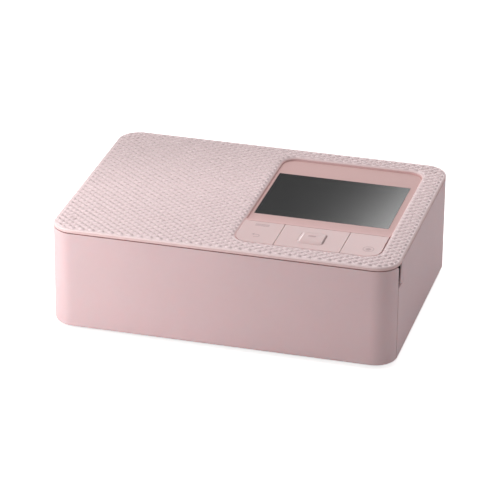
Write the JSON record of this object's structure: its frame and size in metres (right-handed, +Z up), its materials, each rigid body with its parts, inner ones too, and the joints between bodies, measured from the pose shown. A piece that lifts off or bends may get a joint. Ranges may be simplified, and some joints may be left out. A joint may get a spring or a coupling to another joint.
{
  "type": "compact photo printer",
  "caption": "Compact dye-sublimation photo printer: flat textured box with a display and keys in its top, hinged front and ink doors, and a roller print mechanism inside.",
  "frame": {"origin": "on the table under the middle of the casing", "axes": "+Z up, front door faces -Y, +X to the right seen from the front"},
  "size_m": [0.1822, 0.133, 0.058],
  "materials": {
    "case_pink": "fine matt",
    "case_inner": "matt",
    "key_pink": "satin",
    "key_carrier": "matt",
    "display_pane": "satin anti-glare",
    "display_module": "satin",
    "foot_rubber": "matt",
    "screw_steel": "plated",
    "lever_lilac": "gloss",
    "circuit_board": "lacquered",
    "socket_metal": "plated",
    "socket_black": "matt",
    "chassis_steel": "zinc plated",
    "guide_black": "matt",
    "bush_brown": "matt",
    "shaft_steel": "ground",
    "tyre_rubber": "matt",
    "gear_ivory": "satin",
    "motor_can": "plated",
    "sink_aluminium": "extruded",
    "head_ceramic": "glazed ceramic"
  },
  "bodies": {
    "printer": {"bottom_case": "case_inner", "side_housing": "case_pink", "top_cover": "case_pink", "panel_bezel": "case_inner", "lcd_window": "display_pane", "lcd_module": "display_module", "door_pins": "screw_steel", "front_frame": "case_inner", "ink_door_pins": "screw_steel", "rubber_feet": "foot_rubber", "case_screws": "screw_steel", "key_board": "circuit_board", "main_board": "circuit_board", "card_reader": "socket_metal", "usb_socket": "socket_metal", "dc_jack": "socket_black", "battery_terminal": "socket_black", "chassis_base": "chassis_steel", "left_side_plate": "chassis_steel", "right_side_plate": "chassis_steel", "rear_tie": "chassis_steel", "top_tie": "chassis_steel", "upper_guide": "guide_black", "front_guide": "guide_black", "rear_guide": "guide_black", "shaft_bushes": "bush_brown", "gear_bracket": "chassis_steel", "gear_axles": "shaft_steel", "feed_motor": "motor_can", "head_motor": "motor_can", "head_pivot": "shaft_steel", "head_springs": "shaft_steel"},
    "front_flap": {"front_door": "case_pink"},
    "ink_flap": {"ink_door": "case_pink"},
    "ink_catch": {"ink_lever": "lever_lilac"},
    "menu_rocker": {"menu_key": "key_pink"},
    "arrow_carrier": {"nav_carrier": "key_carrier"},
    "arrow_pad": {"nav_key": "key_pink"},
    "centre_button": {"ok_button": "key_pink"},
    "print_button": {"print_key": "key_pink"},
    "grip_axle": {"grip_roller": "shaft_steel", "grip_gear": "gear_ivory"},
    "pinch_axle": {"pinch_roller": "tyre_rubber"},
    "pickup_axle": {"pickup_shaft": "shaft_steel", "pickup_tyres": "tyre_rubber", "pickup_gear": "gear_ivory"},
    "platen_axle": {"platen_shaft": "shaft_steel", "platen_roller": "tyre_rubber", "platen_gear": "gear_ivory"},
    "idler_wheel": {"idler_gear": "gear_ivory"},
    "takeup_axle": {"takeup_hub": "gear_ivory", "takeup_gear": "gear_ivory"},
    "supply_axle": {"supply_hub": "gear_ivory"},
    "reduction_wheel": {"reduction_gear": "gear_ivory"},
    "feed_pinion": {"motor_pinion": "gear_ivory"},
    "print_head": {"head_arm": "chassis_steel", "heat_sink": "sink_aluminium", "thermal_head": "head_ceramic"},
    "cam_wheel": {"head_cam": "gear_ivory"},
    "cam_pinion": {"head_pinion": "gear_ivory"}
  },
  "joints": [
    {"name": "front_door_hinge", "type": "hinge", "parent": "printer", "child": "front_flap", "pos_m": [0, -0.0634, 0.0042], "axis": [1, 0, 0], "range_deg": [0, 90]},
    {"name": "ink_door_hinge", "type": "hinge", "parent": "printer", "child": "ink_flap", "pos_m": [-0.0884, 0.0175, 0.01895], "axis": [0, -1, 0], "range_deg": [0, 90]},
    {"name": "ink_lever_turn", "type": "hinge", "parent": "printer", "child": "ink_catch", "pos_m": [-0.0821, -0.014, 0.034], "axis": [1, 0, 0], "range_deg": [0, 20], "stiffness_Nm_per_rad": 0.01},
    {"name": "menu_key_rock", "type": "hinge", "parent": "printer", "child": "menu_rocker", "pos_m": [0.01385, -0.04155, 0.0546], "axis": [1, 0, 0], "range_deg": [-1.2, 1.2], "stiffness_Nm_per_rad": 0.08},
    {"name": "arrow_tilt_side", "type": "hinge", "parent": "printer", "child": "arrow_carrier", "pos_m": [0.04195, -0.04155, 0.0546], "axis": [0, 1, 0], "range_deg": [-1.2, 1.2], "stiffness_Nm_per_rad": 0.08},
    {"name": "arrow_tilt_front", "type": "hinge", "parent": "arrow_carrier", "child": "arrow_pad", "pos_m": [0.04195, -0.04155, 0.0546], "axis": [1, 0, 0], "range_deg": [-1.2, 1.2], "stiffness_Nm_per_rad": 0.08},
    {"name": "centre_press", "type": "slide", "parent": "printer", "child": "centre_button", "axis": [0, 0, -1], "range_m": [0, 0.0005], "stiffness_N_per_m": 600},
    {"name": "print_press", "type": "slide", "parent": "printer", "child": "print_button", "axis": [0, 0, -1], "range_m": [0, 0.0005], "stiffness_N_per_m": 600},
    {"name": "grip_spin", "type": "hinge", "parent": "printer", "child": "grip_axle", "pos_m": [-0.017, -0.006, 0.0225], "axis": [1, 0, 0], "continuous": true},
    {"name": "pinch_spin", "type": "hinge", "parent": "printer", "child": "pinch_axle", "pos_m": [-0.017, -0.006, 0.029], "axis": [1, 0, 0], "continuous": true},
    {"name": "pickup_spin", "type": "hinge", "parent": "printer", "child": "pickup_axle", "pos_m": [-0.017, -0.02674, 0.03289], "axis": [1, 0, 0], "continuous": true},
    {"name": "platen_spin", "type": "hinge", "parent": "printer", "child": "platen_axle", "pos_m": [-0.017, 0.026, 0.0185], "axis": [1, 0, 0], "continuous": true},
    {"name": "idler_spin", "type": "hinge", "parent": "printer", "child": "idler_wheel", "pos_m": [0.0562, 0.01149, 0.0156], "axis": [1, 0, 0], "continuous": true},
    {"name": "takeup_spin", "type": "hinge", "parent": "printer", "child": "takeup_axle", "pos_m": [0.045, 0.00814, 0.03664], "axis": [1, 0, 0], "continuous": true},
    {"name": "reduction_spin", "type": "hinge", "parent": "printer", "child": "reduction_wheel", "pos_m": [0.058, -0.03985, 0.02371], "axis": [1, 0, 0], "continuous": true},
    {"name": "feed_motor_spin", "type": "hinge", "parent": "printer", "child": "feed_pinion", "pos_m": [0.06, -0.02385, 0.02371], "axis": [1, 0, 0], "continuous": true},
    {"name": "supply_spin", "type": "hinge", "parent": "printer", "child": "supply_axle", "pos_m": [0.045, 0.04386, 0.03664], "axis": [1, 0, 0], "continuous": true},
    {"name": "cam_turn", "type": "hinge", "parent": "printer", "child": "cam_wheel", "pos_m": [0.05, 0.026, 0.03815], "axis": [1, 0, 0], "range_deg": [0, 180]},
    {"name": "head_tilt", "type": "hinge", "parent": "printer", "child": "print_head", "pos_m": [-0.017, 0.054, 0.048], "axis": [1, 0, 0], "range_deg": [0, 6.4]},
    {"name": "cam_pinion_turn", "type": "hinge", "parent": "printer", "child": "cam_pinion", "pos_m": [0.052, 0.0328, 0.02637], "axis": [1, 0, 0], "range_deg": [-432, 0]}
  ],
  "couplings": [
    {"joint": "pinch_spin", "follows": "grip_spin", "ratio": -1},
    {"joint": "pickup_spin", "follows": "grip_spin", "ratio": -1.0714},
    {"joint": "reduction_spin", "follows": "grip_spin", "ratio": 2.5},
    {"joint": "feed_motor_spin", "follows": "grip_spin", "ratio": -5.8333},
    {"joint": "takeup_spin", "follows": "grip_spin", "ratio": -1.5},
    {"joint": "idler_spin", "follows": "grip_spin", "ratio": -1.7647},
    {"joint": "platen_spin", "follows": "grip_spin", "ratio": 1.5},
    {"joint": "head_tilt", "follows": "cam_turn", "ratio": 0.035556},
    {"joint": "cam_pinion_turn", "follows": "cam_turn", "ratio": -2.4}
  ]
}
